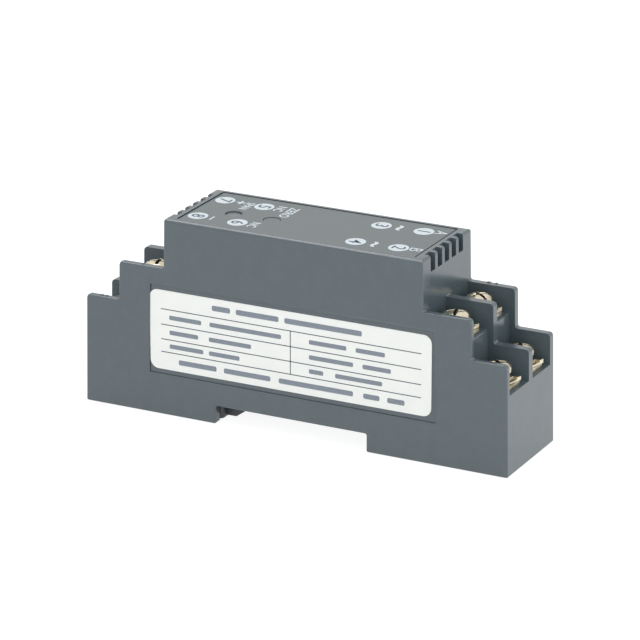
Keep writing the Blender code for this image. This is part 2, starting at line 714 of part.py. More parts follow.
def screw_mesh():
    """A pan head screw with a domed top and a cross recess; its thread is left as a plain shank."""
    low = HEAD_LOW
    rim = HEAD_H * 0.45
    dome = [(HEAD_R * sin(a), low + rim + (HEAD_H - rim) * cos(a)) for a in [radians(d) for d in (0, 25, 50, 72, 90)]]
    bottom = low - SHANK_L
    profile = dome + [(HEAD_R, low), (SHANK_R, low), (SHANK_R, bottom + SHANK_POINT), (SHANK_R - SHANK_POINT, bottom),
                      (0, bottom)]
    screw = turned("screw_blank", profile, NICKEL)
    quarter = [(CROSS_HALF_W, CROSS_HALF_W), (CROSS_TIP_HALF_W, CROSS_ARM), (-CROSS_TIP_HALF_W, CROSS_ARM)]
    cross = [Matrix.Rotation(k * pi / 2, 2) @ Vector(point) for k in range(4) for point in quarter]
    recess = prism("cross_recess", cross, "XY", low + HEAD_H - CROSS_DEPTH, low + HEAD_H + 1)
    boolean(screw, add_cutter("cross_recess", recess))
    return finished_mesh(screw)


def make_terminals():
    contacts = {level: contact_mesh(level) for level in ("upper", "lower")}
    washer, lock, screw = clamp_washer_mesh(), lock_washer_mesh(), screw_mesh()
    for number, side, level, row in terminal_places():
        place = screw_place(side, level, row)
        turn = 0 if side > 0 else pi
        tag = "_" + str(number)
        shade(add_part("contact_plate" + tag, contacts[level], NICKEL, place, turn))
        shade(add_part("clamp_washer" + tag, washer, NICKEL, place, turn + WASHER_TURN))
        shade(add_part("lock_washer" + tag, lock, NICKEL, place, turn))
        shade(add_part("terminal_screw" + tag, screw, NICKEL, place, turn + number * radians(17)))


def make_boards():
    """The main board on the base cover's posts, and the signal board above it on two pin headers."""
    x, y = MAIN_BOARD_HALF
    bottom, top = MAIN_BOARD_Z, MAIN_BOARD_Z + BOARD_T
    main = add_part("main_board", boxes("main_board", [((-x, x), (-y, y), (bottom, top))]), BOARD_GREEN)
    slots = []
    for _, side, level, row in terminal_places():
        screw_x, screw_y, _ = screw_place(side, level, row)
        centre = screw_x - side * (TAIL_REACH - PLATE_T / 2)
        half_x, half_y = PLATE_T / 2 + GAP, TAIL_W / 2 + GAP
        slots.append(((centre - half_x, centre + half_x), (screw_y - half_y, screw_y + half_y), (bottom - 1, top + 1)))
    boolean(main, add_cutter("tail_holes", boxes("tail_holes", slots)))
    x, y = SIGNAL_BOARD_HALF
    bottom, top = SIGNAL_BOARD_Z, SIGNAL_BOARD_Z + BOARD_T
    add_part("signal_board", boxes("signal_board", [((-x, x), (-y, y), (bottom, top))]), BOARD_GREEN)
    low, high = MAIN_BOARD_Z + BOARD_T + GAP, SIGNAL_BOARD_Z - GAP
    for name, side in (("link_header_left", -1), ("link_header_right", 1)):
        span = sorted((side * HEADER_X, side * (HEADER_X - HEADER_T)))
        add_part(name, boxes(name, [(span, (-HEADER_HALF_W, HEADER_HALF_W), (low, high))]), PLASTIC_BLACK)


def make_transformer(low):
    """A laminated core with two windows, and a coil wound round its middle leg."""
    middle = sum(CORE_X) / 2
    core = boxes("core", [(CORE_X, (-CORE_HALF_W, CORE_HALF_W), (low, low + CORE_H))])
    core = add_part("voltage_transformer", core, CORE_STEEL)
    inner_z = (low + YOKE_H, low + CORE_H - YOKE_H)
    windows = []
    for x in (middle - CORE_WINDOW_X, middle + CORE_WINDOW_X):
        windows.append(((x - CORE_WINDOW_HALF, x + CORE_WINDOW_HALF), (-CORE_HALF_W - 1, CORE_HALF_W + 1), inner_z))
    boolean(core, add_cutter("core_windows", boxes("core_windows", windows)))

    x, y = WINDING_HALF
    coil = rectangle((middle - x, middle + x), (-y, y), WINDING_R)
    winding = prism("winding", coil, "XY", inner_z[0] + GAP, inner_z[1] - GAP)
    winding = add_part("transformer_winding", winding, WINDING)
    x, y = LEG_HALF
    leg = boxes("leg", [((middle - x, middle + x), (-y, y), (low, low + CORE_H))])
    boolean(winding, add_cutter("winding_bore", leg))


def make_trimmer(name, x, y, top):
    """A small block with a slotted rotor in its bore, under one of the plugs."""
    half = TRIMMER_HALF
    block = boxes(name, [((x - half, x + half), (y - half, y + half), (top, top + TRIMMER_H))])
    block = add_part(name, block, TRIMMER_BLUE)
    bore = cylinders(name + "_bore", [(x, y, top)], TRIMMER_BORE_R, TRIMMER_BORE_Z, TRIMMER_H + 1)
    boolean(block, add_cutter(name + "_bore", bore))
    profile = [(0, ROTOR_H), (ROTOR_R - ROTOR_EDGE, ROTOR_H), (ROTOR_R, ROTOR_H - ROTOR_EDGE), (ROTOR_R, 0), (0, 0)]
    seat = top + TRIMMER_BORE_Z + ROTOR_EDGE
    rotor = turned(name + "_rotor", profile, PLASTIC_WHITE, (x, y, seat), steps=20)
    slot = ((x - ROTOR_R - 1, x + ROTOR_R + 1), (y - ROTOR_SLOT_HALF, y + ROTOR_SLOT_HALF))
    slot = boxes(name + "_slot", [(*slot, (top + TRIMMER_H, seat + ROTOR_H + 1))])
    boolean(rotor, add_cutter(name + "_slot", slot))
    shade(rotor)


def make_board_parts():
    low = MAIN_BOARD_Z + BOARD_T + GAP
    make_transformer(low)
    power = boxes("power_module", [(POWER_X, (-POWER_HALF_W, POWER_HALF_W), (low, low + POWER_H))])
    power = add_part("power_module", power, PLASTIC_BLACK)
    bevel(power, 0.5, segments=1)
    for number, y in ((1, CAN_Y), (2, -CAN_Y)):
        shade(turned("filter_capacitor_" + str(number), CAN_PROFILE, CAN_SLEEVE, (CAN_X, y, low), steps=18))

    top = SIGNAL_BOARD_Z + BOARD_T + GAP
    for name, x, half_w, height in CHIPS:
        chip = add_part(name, boxes(name, [(x, (-half_w, half_w), (top, top + height))]), PLASTIC_BLACK)
        bevel(chip, 0.3, segments=1)
    make_trimmer("span_trimmer", *SPAN_AT, top)
    make_trimmer("zero_trimmer", *ZERO_AT, top)


clear_scene()
PARTS = new_collection(PRODUCT)
CUTTERS = new_collection("cutters")
SHELL = make_material("shell_grey", (88, 97, 103), 0.35)
SHELL_DARK = make_material("cover_grey", (76, 84, 90), 0.45)
PANEL = make_material("panel_grey", (112, 116, 115), 0.4)
LABEL_WHITE = make_material("label_white", (238, 239, 236), 0.5)
LATCH_BLACK = make_material("latch_black", (32, 34, 37), 0.4)
NICKEL = make_material("nickel", (214, 208, 190), 0.25, 1.0)
SPRING_STEEL = make_material("spring_steel", (150, 150, 150), 0.35, 1.0)
BOARD_GREEN = make_material("board_green", (34, 84, 56), 0.5)
PLASTIC_BLACK = make_material("component_black", (30, 30, 32), 0.5)
PLASTIC_WHITE = make_material("rotor_white", (225, 222, 212), 0.5)
CORE_STEEL = make_material("core_steel", (92, 92, 96), 0.45, 1.0)
WINDING = make_material("winding_tape", (196, 160, 60), 0.5)
CAN_SLEEVE = make_material("can_sleeve", (38, 44, 78), 0.4)
TRIMMER_BLUE = make_material("trimmer_blue", (46, 86, 150), 0.5)

make_case()
make_base_cover()
make_rail_latch()
make_latch_spring()
make_top_plate()
make_side_label()
make_terminals()
make_boards()
make_board_parts()
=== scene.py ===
"""Looks of the rail mounted voltage transducer.

Finishes, rounded edges, screws, the latch's spring, legend, label, light and camera are made here.
Sizes are in millimetres, which MM turns into metres, apart from the stage's, which are in metres.
"""
import json
from math import cos, pi, radians, sin

import bmesh
import bpy
import numpy as np
from mathutils import Matrix, Vector


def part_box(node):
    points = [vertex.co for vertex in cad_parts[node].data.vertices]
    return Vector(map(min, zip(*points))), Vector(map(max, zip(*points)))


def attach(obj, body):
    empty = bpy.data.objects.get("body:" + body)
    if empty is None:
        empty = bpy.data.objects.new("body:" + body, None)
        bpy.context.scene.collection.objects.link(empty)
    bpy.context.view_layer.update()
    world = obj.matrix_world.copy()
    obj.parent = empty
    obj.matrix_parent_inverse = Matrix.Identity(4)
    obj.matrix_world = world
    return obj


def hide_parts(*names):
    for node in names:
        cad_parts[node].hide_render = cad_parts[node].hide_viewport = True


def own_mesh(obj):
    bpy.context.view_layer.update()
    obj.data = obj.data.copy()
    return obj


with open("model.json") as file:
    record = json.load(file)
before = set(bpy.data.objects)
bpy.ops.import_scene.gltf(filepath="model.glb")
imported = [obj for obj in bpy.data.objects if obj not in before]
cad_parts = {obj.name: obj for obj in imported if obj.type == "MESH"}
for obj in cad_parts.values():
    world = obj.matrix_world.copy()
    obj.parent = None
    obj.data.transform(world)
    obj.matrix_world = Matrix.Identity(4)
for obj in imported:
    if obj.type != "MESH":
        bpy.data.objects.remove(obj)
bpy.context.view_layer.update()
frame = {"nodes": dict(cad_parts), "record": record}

MM = 0.001

# View of the photograph: direction, focal length in pixels of the frame, aim point and distance
AZIMUTH = radians(26.994)
ELEVATION = radians(19.743)
FOCAL_PX = 3702.7
FRAME_PX = 640
SENSOR_MM = 36.0
AIM_RIGHT = 0.672 * MM
AIM_UP = 21.585 * MM
DISTANCE = 798.1 * MM
NEAR_CLIP = 10 * MM

# Colours as the photograph shows them in plain light, 8 bit
SHELL_RGB = (79, 90, 96)
COVER_RGB = (76, 84, 90)
PANEL_RGB = (95, 103, 104)
# The span plug's sheet is lighter than the panel's: painted light against the shade of its sunken place
PLUG_PAINTED_LIGHT_RGB = (110, 118, 119)
LABEL_RGB = (252, 251, 247)
PRINT_RGB = (72, 80, 92)
BAR_RGB = (136, 143, 153)
LEGEND_RGB = (213, 221, 226)
DIGIT_RGB = (72, 88, 106)
LATCH_RGB = (72, 75, 79)
NICKEL_RGB = (229, 219, 194)
STEEL_RGB = (176, 176, 174)
BOARD_RGB = (30, 84, 52)
COMPONENT_RGB = (34, 34, 36)
ROTOR_RGB = (226, 222, 210)
CORE_RGB = (98, 97, 98)
WINDING_RGB = (206, 168, 62)
CAN_RGB = (40, 46, 84)
TRIMMER_RGB = (44, 88, 158)
# How much darker the plating in the screws' drives is made: painted shade in the recesses
DRIVE_PAINTED_SHADE = 0.42


def linear(rgb):
    """8 bit sRGB as the four linear values of a colour socket."""
    values = [c / 255 for c in rgb]
    return tuple(v / 12.92 if v <= 0.04045 else ((v + 0.055) / 1.055) ** 2.4 for v in values) + (1.0,)


def scaled(rgb, factor):
    """The same hue, lighter or darker by a factor."""
    return tuple(min(255, c * factor) for c in rgb)


# Materials

# How large the marks in each finish are
FLOW_MARK = 4.0
FLOW_STRETCH = (1.0, 1.0, 0.7)
GLOSS_PATCH = 1.6
MOULD_GRAIN = 0.22
SHEET_SPECKLE = 0.3
SHEET_GRAIN = 0.12
TARNISH_PATCH = 2.2
PLATING_PATCH = 0.5
DENT = 1.5
SCRATCH = 0.2
WIRE_PATCH = 0.6
WIRE_GRAIN = 0.08
FILM_MOTTLE = 4.0
FILM_GRAIN = 0.5
INK_PATCH = 0.25
TRACK_LENGTH = 6.0
TRACK_PITCH = 1.6
TRACK_GAP = 0.35

# Scales of the wave textures, whose lines lie 0.31 m / scale apart
TAPE_WAVE = 90.0
CORE_WAVE = 320.0


class Finish:
    """A node material under construction: Principled shader, Object coordinates and node helpers."""

    def __init__(self, name, rgb, roughness, metallic=0.0):
        self.material = bpy.data.materials.new(name)
        self.material.use_nodes = True
        self.tree = self.material.node_tree
        self.shader = self.tree.nodes["Principled BSDF"]
        self.shader.inputs["Base Color"].default_value = linear(rgb)
        self.shader.inputs["Roughness"].default_value = roughness
        self.shader.inputs["Metallic"].default_value = metallic
        self.coords = self.add("ShaderNodeTexCoord").outputs["Object"]

    def add(self, kind, **inputs):
        """A node whose sockets are linked to other sockets or set to values."""
        made = self.tree.nodes.new(kind)
        for name, value in inputs.items():
            socket = made.inputs[name.replace("_", " ")]
            if isinstance(value, bpy.types.NodeSocket):
                self.tree.links.new(value, socket)
            else:
                socket.default_value = value
        return made

    def noise(self, size_mm, detail=3.0, stretch=None, fine_share=0.5):
        """Noise whose features are about size_mm across, drawn out along an axis if stretch is given.
        fine_share is how much of the strength each finer layer keeps."""
        vector = self.coords
        if stretch:
            vector = self.add("ShaderNodeMapping", Vector=vector, Scale=stretch).outputs["Vector"]
        made = self.add("ShaderNodeTexNoise", Vector=vector, Scale=1.0 / (size_mm * MM), Detail=detail,
                        Roughness=fine_share)
        return made.outputs["Fac"]

    def remap(self, value, low, high, from_low=0.3, from_high=0.7):
        """The value's middle stretch, from_low to from_high, spread from low to high."""
        made = self.add("ShaderNodeMapRange", Value=value, From_Min=from_low, From_Max=from_high,
                        To_Min=low, To_Max=high)
        return made.outputs["Result"]

    def tint(self, value, rgb_low, rgb_high):
        """Colour that runs from rgb_low to rgb_high with the value."""
        ramp = self.add("ShaderNodeValToRGB", Fac=value)
        ramp.color_ramp.elements[0].color = linear(rgb_low)
        ramp.color_ramp.elements[1].color = linear(rgb_high)
        self.link(ramp.outputs["Color"], "Base Color")

    def uneven_gloss(self, size_mm, roughness, spread):
        """Roughness that wanders by the spread in patches of size_mm."""
        patches = self.noise(size_mm)
        self.link(self.remap(patches, roughness - spread, roughness + spread), "Roughness")

    def link(self, output, name):
        self.tree.links.new(output, self.shader.inputs[name])

    def gloss(self, level):
        self.shader.inputs["Specular IOR Level"].default_value = level

    def bump(self, height, depth_mm, strength=1.0, below=None):
        """Raises the surface by the height pattern, over the bumps given as below, if any."""
        made = self.add("ShaderNodeBump", Height=height, Distance=depth_mm * MM, Strength=strength)
        if below:
            self.tree.links.new(below, made.inputs["Normal"])
        self.link(made.outputs["Normal"], "Normal")
        return made.outputs["Normal"]


def moulded(name, rgb, roughness, grain_mm=MOULD_GRAIN, grain_depth=0.004, mottle=0.03, gloss=0.5):
    """Spark-textured moulding: fine grain in the surface, faint flow marks in the colour and the gloss."""
    finish = Finish(name, rgb, roughness)
    finish.gloss(gloss)
    flow = finish.noise(FLOW_MARK, detail=5.0, stretch=FLOW_STRETCH, fine_share=0.85)
    finish.tint(finish.remap(flow, 0.0, 1.0), scaled(rgb, 1 - mottle), scaled(rgb, 1 + mottle))
    finish.uneven_gloss(GLOSS_PATCH, roughness, spread=0.05)
    finish.bump(finish.noise(grain_mm, detail=2.0), grain_depth)
    return finish.material


def printed_sheet(name, rgb, roughness):
    """Grey polycarbonate sheet with a fine even grain and a slight speckle."""
    finish = Finish(name, rgb, roughness)
    speckle = finish.noise(SHEET_SPECKLE)
    finish.tint(finish.remap(speckle, 0.0, 1.0), scaled(rgb, 0.965), scaled(rgb, 1.035))
    finish.bump(finish.noise(SHEET_GRAIN, detail=1.0), depth_mm=0.004)
    return finish.material


def plated(name, rgb, roughness):
    """Nickel plating with warm tarnish in patches, shallow dents and fine scratches."""
    finish = Finish(name, rgb, roughness, metallic=1.0)
    tarnish = finish.noise(TARNISH_PATCH)
    finish.tint(finish.remap(tarnish, 0.0, 1.0, from_low=0.35, from_high=0.65), scaled(rgb, 0.82), rgb)
    finish.uneven_gloss(PLATING_PATCH, roughness, spread=0.08)
    dents = finish.bump(finish.noise(DENT, detail=1.0), depth_mm=0.04, strength=0.35)
    finish.bump(finish.noise(SCRATCH, detail=2.0), depth_mm=0.004, strength=0.4, below=dents)
    return finish.material


def drawn_wire(name, rgb, roughness):
    """Spring wire with a fine drawn surface."""
    finish = Finish(name, rgb, roughness, metallic=1.0)
    finish.tint(finish.remap(finish.noise(WIRE_PATCH), 0.0, 1.0), scaled(rgb, 0.8), rgb)
    finish.bump(finish.noise(WIRE_GRAIN), depth_mm=0.003)
    return finish.material


def film(name, rgb, roughness):
    """Label film: almost even white with a trace of mottle and a smooth face."""
    finish = Finish(name, rgb, roughness)
    finish.tint(finish.remap(finish.noise(FILM_MOTTLE), 0.0, 1.0), scaled(rgb, 0.985), rgb)
    finish.bump(finish.noise(FILM_GRAIN, detail=1.0), depth_mm=0.002, strength=0.5)
    return finish.material


def ink(name, rgb, roughness=0.6):
    """Printing ink, slightly uneven."""
    finish = Finish(name, rgb, roughness)
    finish.tint(finish.remap(finish.noise(INK_PATCH), 0.0, 1.0), scaled(rgb, 0.93), scaled(rgb, 1.05))
    return finish.material


def lacquered_board(name, rgb):
    """Green solder lacquer over copper tracks, drawn as straight bands of two shades with a slight step."""
    finish = Finish(name, rgb, roughness=0.3)
    bands = finish.add("ShaderNodeTexBrick", Vector=finish.coords, Scale=1.0, Brick_Width=TRACK_LENGTH * MM,
                       Row_Height=TRACK_PITCH * MM, Mortar_Size=TRACK_GAP * MM, Mortar_Smooth=0.1)
    finish.tint(bands.outputs["Fac"], rgb, scaled(rgb, 1.35))
    finish.bump(bands.outputs["Fac"], depth_mm=0.03)
    return finish.material


def wound_tape(name, rgb):
    """Yellow winding tape with the edge of each turn showing as a fine line."""
    finish = Finish(name, rgb, roughness=0.35)
    turns = finish.add("ShaderNodeTexWave", Vector=finish.coords, Scale=TAPE_WAVE, Distortion=1.5,
                       Detail=2.0)
    turns.bands_direction = "Z"
    finish.tint(turns.outputs["Fac"], scaled(rgb, 0.9), rgb)
    finish.bump(turns.outputs["Fac"], depth_mm=0.03)
    return finish.material


def laminated(name, rgb):
    """Stacked core sheets, seen as thin lines across the stack."""
    finish = Finish(name, rgb, roughness=0.4, metallic=1.0)
    sheets = finish.add("ShaderNodeTexWave", Vector=finish.coords, Scale=CORE_WAVE, Distortion=0.6)
    sheets.bands_direction = "Y"
    finish.tint(sheets.outputs["Fac"], scaled(rgb, 0.6), rgb)
    finish.bump(sheets.outputs["Fac"], depth_mm=0.04)
    return finish.material


SHELL = moulded("shell_plastic", SHELL_RGB, roughness=0.2, grain_depth=0.003, mottle=0.04, gloss=0.75)
SHELL_INNER = moulded("shell_plastic_in_the_bays", SHELL_RGB, roughness=0.45, grain_depth=0.006,
                      mottle=0.04, gloss=0.35)
COVER = moulded("cover_plastic", COVER_RGB, roughness=0.5)
PANEL = printed_sheet("panel_sheet", PANEL_RGB, roughness=0.36)
# A lighter copy of the panel sheet: painted light on the sunken span plug
PLUG_PAINTED_LIGHT = printed_sheet("plug_sheet_painted_light", PLUG_PAINTED_LIGHT_RGB, roughness=0.36)
LABEL = film("label_film", LABEL_RGB, roughness=0.45)
PRINT = ink("label_print", PRINT_RGB)
BARS = ink("label_bars", BAR_RGB)
LEGEND = ink("legend_white", LEGEND_RGB, roughness=0.5)
DIGITS = ink("legend_digits", DIGIT_RGB, roughness=0.5)
LATCH = moulded("latch_plastic", LATCH_RGB, roughness=0.38, grain_mm=0.3, mottle=0.08)
NICKEL = plated("nickel_plate", NICKEL_RGB, roughness=0.22)
STRIP = plated("nickel_on_strips", NICKEL_RGB, roughness=0.4)
# Darker plating for the drives: painted shade in the screws' recesses
PAINTED_SHADE_IN_DRIVE = plated("nickel_with_painted_shade_in_the_drive", scaled(NICKEL_RGB, DRIVE_PAINTED_SHADE), roughness=0.5)
SPRING = drawn_wire("spring_wire", STEEL_RGB, roughness=0.3)
FINISHES = {
    "shell": SHELL,
    "cover": COVER,
    "panel": PANEL,
    "label": LABEL,
    "latch": LATCH,
    "nickel": NICKEL,
    "spring_steel": SPRING,
    "board": lacquered_board("board_lacquer", BOARD_RGB),
    "component": moulded("component_black", COMPONENT_RGB, roughness=0.5, mottle=0.08),
    "rotor": moulded("rotor_white", ROTOR_RGB, roughness=0.4),
    "core": laminated("core_sheets", CORE_RGB),
    "winding": wound_tape("winding_tape", WINDING_RGB),
    "can": moulded("can_sleeve", CAN_RGB, roughness=0.3, mottle=0.06),
    "trimmer": moulded("trimmer_blue", TRIMMER_RGB, roughness=0.4),
}
SLOTS = {entry["node"]: entry["material_slot"] for entry in frame["record"]["subparts"]}
BODIES = {node: body for body, nodes in frame["record"]["behaviour"]["bodies"].items() for node in nodes}


# Mesh helpers

MERGE_DISTANCE = 0.001
TOP_BAND = 0.01
BEVEL_SEGMENTS = 2
BEVEL_ANGLE = radians(50)
SAME_PLANE = radians(0.5)
FLAT_WEIGHT = 60
CAPITAL_SHARE = 0.72
CURVE_STEPS = 4
CORNER_STEPS = 6
DISC_SIDES = 64
DISC_RIM_SHARE = 0.3
ROUND_SHARP = 60

# A face looks along an axis if its normal's share along that axis is above this
FACING = 0.9


def place(name, mesh, finish, body):
    """A finished piece at the origin, riding on a body."""
    piece = bpy.data.objects.new(name, mesh)
    bpy.context.scene.collection.objects.link(piece)
    mesh.materials.clear()
    mesh.materials.append(finish)
    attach(piece, body)
    return piece


def closed_mesh(name, points):
    """Quads over a (rows, columns, 3) grid of points in metres whose columns close into a ring. Equal points
    merge, so poles and seams close."""
    rows, columns = points.shape[:2]
    index = np.arange(rows * columns).reshape(rows, columns)
    across = np.roll(index, -1, axis=1)
    quads = np.stack([index[:-1], index[1:], across[1:], across[:-1]], axis=-1).reshape(-1, 4)
    mesh = bpy.data.meshes.new(name)
    mesh.from_pydata(points.reshape(-1, 3), [], quads)
    tidy_mesh(mesh)
    return mesh


def tidy_mesh(mesh, flat_angle=None):
    """Merges doubles, joins triangles that lie in one plane if asked, and turns all faces outwards."""
    bm = bmesh.new()
    bm.from_mesh(mesh)
    bmesh.ops.remove_doubles(bm, verts=bm.verts, dist=MERGE_DISTANCE * MM)
    if flat_angle:
        bmesh.ops.dissolve_limit(bm, angle_limit=flat_angle, verts=bm.verts, edges=bm.edges)
    bmesh.ops.recalc_face_normals(bm, faces=bm.faces)
    bm.to_mesh(mesh)
    bm.free()


def smooth(mesh, sharp_degrees):
    """Smooth shading, broken at edges that are sharper than the angle."""
    mesh.shade_smooth()
    mesh.set_sharp_from_angle(angle=radians(sharp_degrees))


def dressed_copy(node, width_mm, finish=None, higher_mm=0.0):
    """The node's own solid with its sharp edges rounded by width_mm and its flats kept flat. higher_mm moves
    its top face up."""
    mesh = frame["nodes"][node].data.copy()
    mesh.name = node + "_dressed"
    tidy_mesh(mesh, flat_angle=SAME_PLANE)
    top = max(v.co.z for v in mesh.vertices)
    for v in mesh.vertices:
        if v.co.z > top - TOP_BAND * MM:
            v.co.z += higher_mm * MM
    mesh.shade_smooth()
    piece = place(node + "_dressed", mesh, finish or FINISHES[SLOTS[node]], BODIES[node])
    edges = piece.modifiers.new("rounded_edges", "BEVEL")
    edges.width = width_mm * MM
    edges.segments = BEVEL_SEGMENTS
    edges.limit_method = "ANGLE"
    edges.angle_limit = BEVEL_ANGLE
    flats = piece.modifiers.new("flat_faces", "WEIGHTED_NORMAL")
    flats.weight = FLAT_WEIGHT
    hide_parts(node)
    return piece


def text_mesh(words, height_mm, thickness_mm, matrix, weight_mm=0.0, width=1.0):
    """Flat lettering of the given capital height, centred on its place, with a little thickness. weight_mm
    fattens the strokes and width narrows the letters."""
    curve = bpy.data.curves.new("lettering", "FONT")
    curve.body = words
    curve.size = height_mm * MM / CAPITAL_SHARE
    curve.align_x = "CENTER"
    curve.align_y = "CENTER"
    curve.extrude = thickness_mm * MM / 2
    curve.offset = weight_mm * MM
    curve.resolution_u = CURVE_STEPS
    holder = bpy.data.objects.new("lettering", curve)
    bpy.context.scene.collection.objects.link(holder)
    bpy.context.view_layer.update()
    mesh = bpy.data.meshes.new_from_object(holder.evaluated_get(bpy.context.evaluated_depsgraph_get()))
    bpy.data.objects.remove(holder)
    mesh.transform(matrix @ Matrix.Diagonal((width, 1, 1, 1)))
    tidy_mesh(mesh)
    return mesh


def joined(name, meshes):
    """One mesh that holds all the meshes."""
    bm = bmesh.new()
    for mesh in meshes:
        bm.from_mesh(mesh)
    whole = bpy.data.meshes.new(name)
    bm.to_mesh(whole)
    bm.free()
    return whole


def disc_mesh(centre, radius, thickness):
    """A closed disc: rings from the top's centre over a small slanted rim to the bottom's centre."""
    edge = DISC_RIM_SHARE * thickness
    radii = np.array([0, radius - edge, radius, radius, radius - edge, 0])
    heights = np.array([thickness, thickness, thickness - edge, edge, 0, 0])
    angle = np.linspace(0, 2 * pi, DISC_SIDES, endpoint=False)
    ring = np.stack([np.cos(angle), np.sin(angle)], axis=-1)
    points = np.zeros((len(radii), DISC_SIDES, 3))
    points[..., :2] = radii[:, None, None] * ring
    points[..., 2] = heights[:, None]
    return closed_mesh("disc", points + np.array(centre))


def bar_mesh(name, x_span, z_span, y_front, thickness, corner):
    """A flat bar that faces -Y, in metres: a rectangle with a quarter circle at each corner,
    x = x0 + r cos(t) and z = z0 + r sin(t) about the corner's centre, carried back by the thickness."""
    arc = np.linspace(0, pi / 2, CORNER_STEPS)
    corners = [(x_span[1], z_span[1], 1, 1), (x_span[0], z_span[1], -1, 1),
               (x_span[0], z_span[0], -1, -1), (x_span[1], z_span[0], 1, -1)]
    outline = []
    for k, (x, z, sx, sz) in enumerate(corners):
        turn = arc + k * pi / 2
        outline.append(np.stack([x - sx * corner + corner * np.cos(turn),
                                 z - sz * corner + corner * np.sin(turn)], -1))
    outline = np.concatenate(outline)
    middle = outline.mean(0)
    loops = [(0.0, 0.0), (1.0, 0.0), (1.0, thickness), (0.0, thickness)]
    points = np.zeros((len(loops), len(outline), 3))
    for row, (share, depth) in enumerate(loops):
        flat = middle + share * (outline - middle)
        points[row, :, 0], points[row, :, 2] = flat[:, 0], flat[:, 1]
        points[row, :, 1] = y_front + depth
    return closed_mesh(name, points)


# Screws

TERMINALS = range(1, 9)
HEAD_R = 3.0
HEAD_RIM = 0.9
HEAD_H = 2.05
DOME_POWER = 2.4
RIM_ROUND = 0.15
RIM_RINGS_Z = (HEAD_RIM + 0.12, HEAD_RIM - 0.2, 0.4)
SHANK_R = 1.75
NECK = 0.1
NECK_END = 0.15
POINT_L = 0.5
POINT_IN = (0.2, 0.5)
POINT_UP = 0.3
THREAD_PITCH = 0.6
THREAD_DEPTH = 0.19
THREAD_START = 0.3
THREAD_RUN_IN = 0.6
RECESS_DEPTH = 1.5
RECESS_ARM = 1.75
RECESS_W = 0.65
RECESS_WALL = 0.07
RECESS_FLARE = 1.15
RECESS_NARROWING = 0.25
RECESS_SLOPE = 0.45
SLOT_W = 0.45
SLOT_FLOOR = 1.15
SCREW_COLUMNS = 144
DRIVE_FIELD_R = 2.1
DRIVE_FIELD_RINGS = 36
DOME_EDGE_R = (2.17, HEAD_R - 0.12)
DOME_EDGE_RINGS = 12
RIM_STEPS = 5
SHANK_RINGS = 56
HEAD_GAP = 0.05
SCREW_SHARP = 50

# A face gets the drive's painted shade if it lies within this reach, this far below the dome and above this
# height
DRIVE_REACH = 2.75
DRIVE_BELOW_DOME = 0.22
DRIVE_ABOVE = 0.3 * HEAD_RIM

# How far each screw is turned, in degrees, and how much higher than the solid's its head stands
SCREW_TURNS = (117, 130, 148, 107, 38, 12, 81, 55)
SCREW_RISE = (0.4, 0.35, 0.1, 0, 0, 0, 0, 0)


def dome_height(radius):
    """Height of the head's dome, z = rim + h sqrt(1 - (r / R)^2.4)."""
    fall = np.clip(1 - (radius / HEAD_R) ** DOME_POWER, 0, 1)
    return HEAD_RIM + (HEAD_H - HEAD_RIM) * np.sqrt(fall)


def step_down(outside):
    """One inside an outline and nought outside it, with a smooth slope over the drive's walls."""
    wall = np.clip(0.5 - outside / (2 * RECESS_WALL), 0, 1)
    return wall * wall * (3 - 2 * wall)


def drive_recess(x, y, dome):
    """How far the drive is cut into the dome: the greater of a cross, whose arms get shallower and narrower
    towards their ends, and a slot along X with a level floor that runs out through the rim."""
    ax, ay = np.abs(x), np.abs(y)
    far, near = np.maximum(ax, ay), np.minimum(ax, ay)
    half_width = RECESS_W / 2 * (RECESS_FLARE - RECESS_NARROWING * far / RECESS_ARM)
    arms = step_down(np.maximum(near - half_width, far - RECESS_ARM))
    cross = RECESS_DEPTH * arms * (1 - RECESS_SLOPE * np.minimum(far / RECESS_ARM, 1) ** 2)
    slot = np.maximum(dome - SLOT_FLOOR, 0) * step_down(ay - SLOT_W / 2)
    return np.maximum(cross, slot)


def screw_points(length):
    """A surface of revolution of (radius, height) stations: a domed head, its rim and underside, and a shank
    whose radius follows a helix, r(angle, z) = r0 - depth * triangle(z / pitch - angle / turn). The drive is
    taken off the dome's height. Heights count from the underside of the head."""
    angle = np.linspace(0, 2 * pi, SCREW_COLUMNS, endpoint=False)
    dome_r = np.concatenate([np.linspace(0, DRIVE_FIELD_R, DRIVE_FIELD_RINGS),
                             np.linspace(*DOME_EDGE_R, DOME_EDGE_RINGS)])
    dome_z = dome_height(dome_r)
    edge = np.linspace(0, pi / 2, RIM_STEPS)
    rim_r = np.concatenate([np.full(len(RIM_RINGS_Z), HEAD_R), HEAD_R - RIM_ROUND + RIM_ROUND * np.cos(edge),
                            [SHANK_R + NECK, SHANK_R]])
    rim_z = np.concatenate([RIM_RINGS_Z, RIM_ROUND - RIM_ROUND * np.sin(edge), [0.0, -NECK]])
    shank_z = np.linspace(-NECK_END, -length + POINT_L, SHANK_RINGS)
    shank_r = np.full(len(shank_z), SHANK_R)
    tip_r = np.array([SHANK_R - POINT_IN[0], SHANK_R - POINT_IN[1], 0.0])
    tip_z = np.array([-length + POINT_UP, -length, -length])
    radii = np.concatenate([dome_r, rim_r, shank_r, tip_r])[:, None] * np.ones(SCREW_COLUMNS)
    heights = np.concatenate([dome_z, rim_z, shank_z, tip_z])[:, None] * np.ones(SCREW_COLUMNS)
    top = len(dome_r)
    start = top + len(rim_r)
    stop = start + len(shank_z)
    phase = (heights[start:stop] / THREAD_PITCH - angle / (2 * pi)) % 1.0
    fade = np.clip((-heights[start:stop] - THREAD_START) / THREAD_RUN_IN, 0, 1)
    radii[start:stop] -= THREAD_DEPTH * fade * np.abs(2 * phase - 1)
    x, y = radii * np.cos(angle), radii * np.sin(angle)
    heights[:top] -= drive_recess(x[:top], y[:top], heights[:top])
    return np.stack([x, y, heights], axis=-1) * MM


